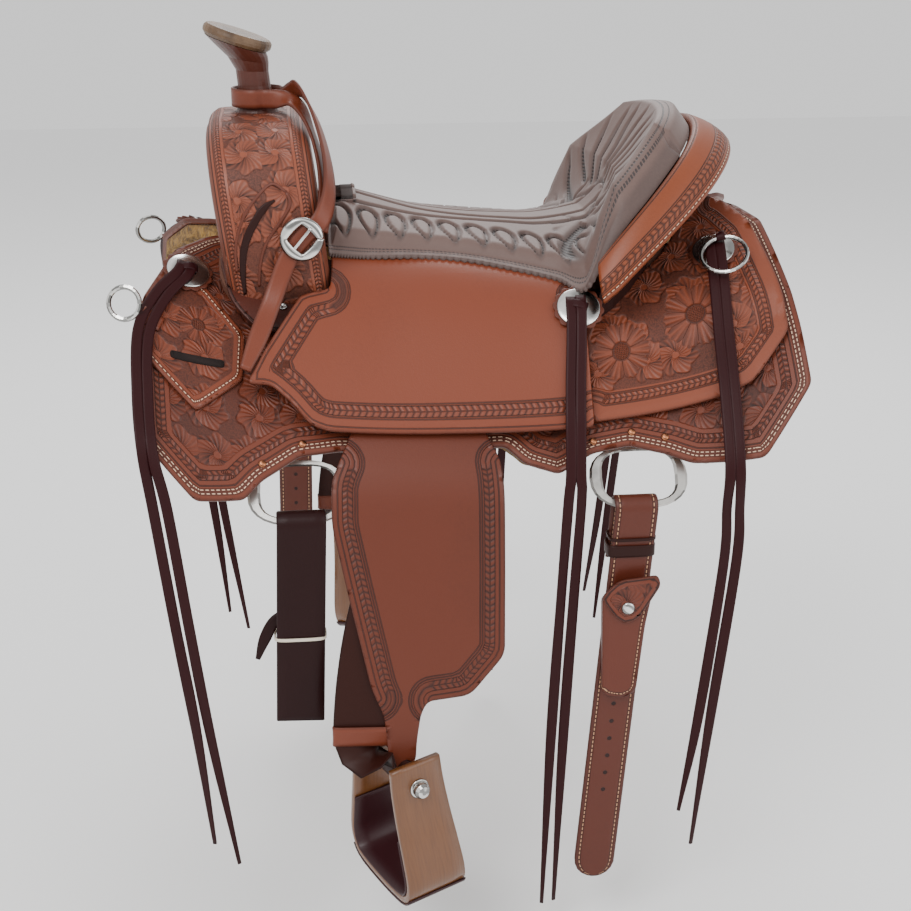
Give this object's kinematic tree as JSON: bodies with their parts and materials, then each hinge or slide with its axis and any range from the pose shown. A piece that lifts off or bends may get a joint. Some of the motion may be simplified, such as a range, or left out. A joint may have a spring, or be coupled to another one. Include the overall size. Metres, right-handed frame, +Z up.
{
  "type": "western saddle",
  "caption": "Western riding saddle with horn, quilted seat, tooled skirts and jockeys, dee rigging, fenders, bell stirrups and hanging strings.",
  "frame": {"origin": "mid-plane of the saddle, at mid length, on the line of the horse's back under the skirts", "axes": "+X towards the cantle (rear), -Y towards the near (left) side, +Z up"},
  "size_m": [0.7221, 0.795, 0.9455],
  "materials": {
    "dark_leather": "oiled burgundy latigo leather",
    "fleece": "woolly golden fleece",
    "horn_leather": "dark red-brown leather",
    "pad_leather": "soft quilted seat leather",
    "polished_steel": "polished",
    "rawhide": "pale rawhide",
    "roll_leather": "orange-brown tooled leather",
    "saddle_leather": "smooth waxed saddle leather",
    "stirrup_wood": "lacquered oak",
    "tan_leather": "tan skirting leather",
    "tree_wood": "sanded wood"
  },
  "bodies": {
    "saddle": {"cantle_back": "roll_leather", "cantle_roll": "roll_leather", "concho_front_near": "polished_steel", "concho_front_off": "polished_steel", "concho_middle_near": "polished_steel", "concho_middle_off": "polished_steel", "concho_rear_near": "polished_steel", "concho_rear_off": "polished_steel", "fleece_near": "fleece", "fleece_off": "fleece", "ground_seat": "tree_wood", "horn_cap": "rawhide", "horn_wrap": "horn_leather", "latigo_keeper_near": "tan_leather", "latigo_keeper_off": "tan_leather", "rear_jockey_near": "saddle_leather", "rear_jockey_off": "saddle_leather", "rigging_dee_front_near": "polished_steel", "rigging_dee_front_off": "polished_steel", "rigging_dee_rear_near": "polished_steel", "rigging_dee_rear_off": "polished_steel", "rope_strap": "tan_leather", "rope_strap_buckle": "polished_steel", "seat_jockey": "saddle_leather", "seat_pad": "pad_leather", "skirt_near": "saddle_leather", "skirt_off": "saddle_leather", "strings_front_near": "dark_leather", "strings_front_off": "dark_leather", "strings_middle_near": "dark_leather", "strings_middle_off": "dark_leather", "strings_rear_near": "dark_leather", "strings_rear_off": "dark_leather", "swell_cover": "saddle_leather", "tree_bar_near": "tree_wood", "tree_bar_off": "tree_wood", "tree_cantle": "tree_wood", "tree_fork": "tree_wood"},
    "leather_swing_near": {"stirrup_leather_upper_near": "tan_leather"},
    "fender_lift_near": {"fender_near": "tan_leather", "stirrup_leather_lower_near": "horn_leather"},
    "stirrup_turn_near": {"stirrup_near": "stirrup_wood", "stirrup_bolt_near": "polished_steel", "stirrup_tread_near": "dark_leather"},
    "breast_ring_near": {"breast_ring_near": "polished_steel"},
    "rear_ring_near": {"rear_ring_near": "polished_steel"},
    "rear_billet_near": {"rear_billet_near": "tan_leather", "knife_sheath": "tan_leather"},
    "latigo_near_swing": {"latigo_near": "dark_leather"},
    "leather_swing_off": {"stirrup_leather_upper_off": "tan_leather"},
    "fender_lift_off": {"fender_off": "tan_leather", "stirrup_leather_lower_off": "horn_leather"},
    "stirrup_turn_off": {"stirrup_off": "stirrup_wood", "stirrup_bolt_off": "polished_steel", "stirrup_tread_off": "dark_leather"},
    "breast_ring_off": {"breast_ring_off": "polished_steel"},
    "rear_ring_off": {"rear_ring_off": "polished_steel"},
    "rear_billet_off": {"rear_billet_off": "tan_leather"},
    "front_billet_off_swing": {"front_billet_off": "tan_leather"},
    "sheath_flap": {"sheath_flap": "tan_leather"}
  },
  "joints": [
    {"name": "leather_swing_near", "type": "hinge", "parent": "saddle", "child": "leather_swing_near", "pos_m": [-0.066, -0.16733, -0.06131], "axis": [0, -0.7054, 0.7088], "range_deg": [-1.5, 4]},
    {"name": "fender_lift_near", "type": "hinge", "parent": "leather_swing_near", "child": "fender_lift_near", "pos_m": [-0.066, -0.26593, -0.15629], "axis": [-1, 0, 0], "range_deg": [0, 60]},
    {"name": "stirrup_turn_near", "type": "hinge", "parent": "fender_lift_near", "child": "stirrup_turn_near", "pos_m": [-0.0945, -0.326, -0.4733], "axis": [0.4067, -0.9135, 0], "range_deg": [-20, 20]},
    {"name": "breast_ring_near", "type": "hinge", "parent": "saddle", "child": "breast_ring_near", "pos_m": [-0.33996, -0.18577, -0.00306], "axis": [0, 0.2425, 0.9701], "range_deg": [-10, 35]},
    {"name": "rear_ring_near", "type": "hinge", "parent": "saddle", "child": "rear_ring_near", "pos_m": [0.276, -0.12343, 0.03676], "axis": [-1, 0, 0], "range_deg": [0, 70]},
    {"name": "rear_billet_near", "type": "hinge", "parent": "saddle", "child": "rear_billet_near", "pos_m": [0.159, -0.27755, -0.20835], "axis": [-1, 0, 0], "range_deg": [-12, 20]},
    {"name": "latigo_near_swing", "type": "hinge", "parent": "saddle", "child": "latigo_near_swing", "pos_m": [-0.185, -0.28119, -0.21037], "axis": [-1, 0, 0], "range_deg": [-12, 3]},
    {"name": "leather_swing_off", "type": "hinge", "parent": "saddle", "child": "leather_swing_off", "pos_m": [-0.066, 0.16733, -0.06131], "axis": [0, -0.7054, -0.7088], "range_deg": [-1.5, 4]},
    {"name": "fender_lift_off", "type": "hinge", "parent": "leather_swing_off", "child": "fender_lift_off", "pos_m": [-0.066, 0.26593, -0.15629], "axis": [1, 0, 0], "range_deg": [0, 60]},
    {"name": "stirrup_turn_off", "type": "hinge", "parent": "fender_lift_off", "child": "stirrup_turn_off", "pos_m": [-0.0945, 0.326, -0.4733], "axis": [-0.4067, -0.9135, 0], "range_deg": [-20, 20]},
    {"name": "breast_ring_off", "type": "hinge", "parent": "saddle", "child": "breast_ring_off", "pos_m": [-0.33996, 0.18577, -0.00306], "axis": [0, 0.2425, -0.9701], "range_deg": [-10, 35]},
    {"name": "rear_ring_off", "type": "hinge", "parent": "saddle", "child": "rear_ring_off", "pos_m": [0.276, 0.12343, 0.03676], "axis": [1, 0, 0], "range_deg": [0, 70]},
    {"name": "rear_billet_off", "type": "hinge", "parent": "saddle", "child": "rear_billet_off", "pos_m": [0.159, 0.27755, -0.20835], "axis": [1, 0, 0], "range_deg": [-12, 20]},
    {"name": "front_billet_off_swing", "type": "hinge", "parent": "saddle", "child": "front_billet_off_swing", "pos_m": [-0.187, 0.28119, -0.21037], "axis": [1, 0, 0], "range_deg": [-12, 3]},
    {"name": "sheath_flap", "type": "hinge", "parent": "rear_billet_near", "child": "sheath_flap", "pos_m": [0.155, -0.30185, -0.2765], "axis": [-1, 0, 0], "range_deg": [0, 100]}
  ]
}
